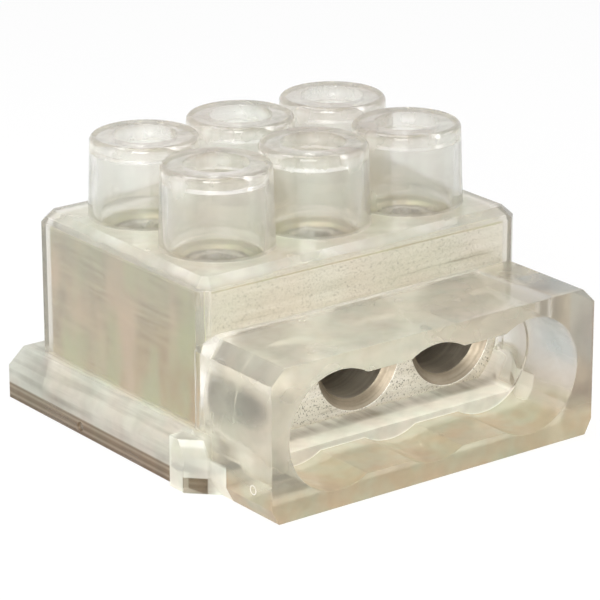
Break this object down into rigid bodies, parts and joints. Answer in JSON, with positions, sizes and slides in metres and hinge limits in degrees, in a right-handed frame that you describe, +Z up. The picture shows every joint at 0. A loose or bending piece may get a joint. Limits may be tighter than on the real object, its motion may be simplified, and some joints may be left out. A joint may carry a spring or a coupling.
{
  "type": "power distribution block",
  "caption": "Clear insulated distribution block: cables enter a shared shrouded mouth into bores in a metal block, clamped by set screws under open towers.",
  "frame": {"origin": "middle of the six set screws in plan, on the underside of the base plate", "axes": "-Y out of the cable mouth, +X across the ports, +Z up along the set screws"},
  "size_m": [0.0886, 0.0902, 0.06],
  "materials": {
    "clear_plastic": "clear moulded plastic, faintly warm",
    "clear_base_plastic": "clear moulded plastic, faintly brown",
    "tinned_metal": "sawn and plated, dull",
    "screw_steel": "zinc-plated steel"
  },
  "bodies": {
    "housing": {"cover": "clear_plastic", "base_plate": "clear_base_plastic", "conductor_block": "tinned_metal"},
    "screw_1": {"set_screw_1": "screw_steel"},
    "screw_2": {"set_screw_2": "screw_steel"},
    "screw_3": {"set_screw_3": "screw_steel"},
    "screw_4": {"set_screw_4": "screw_steel"},
    "screw_5": {"set_screw_5": "screw_steel"},
    "screw_6": {"set_screw_6": "screw_steel"}
  },
  "joints": [
    {"name": "screw_1_travel", "type": "slide", "parent": "housing", "child": "screw_1", "axis": [0, 0, 1], "range_m": [-0.0095, 0.008]},
    {"name": "screw_2_travel", "type": "slide", "parent": "housing", "child": "screw_2", "axis": [0, 0, 1], "range_m": [-0.0095, 0.008]},
    {"name": "screw_3_travel", "type": "slide", "parent": "housing", "child": "screw_3", "axis": [0, 0, 1], "range_m": [-0.0095, 0.008]},
    {"name": "screw_4_travel", "type": "slide", "parent": "housing", "child": "screw_4", "axis": [0, 0, 1], "range_m": [-0.0095, 0.008]},
    {"name": "screw_5_travel", "type": "slide", "parent": "housing", "child": "screw_5", "axis": [0, 0, 1], "range_m": [-0.0095, 0.008]},
    {"name": "screw_6_travel", "type": "slide", "parent": "housing", "child": "screw_6", "axis": [0, 0, 1], "range_m": [-0.0095, 0.008]}
  ]
}
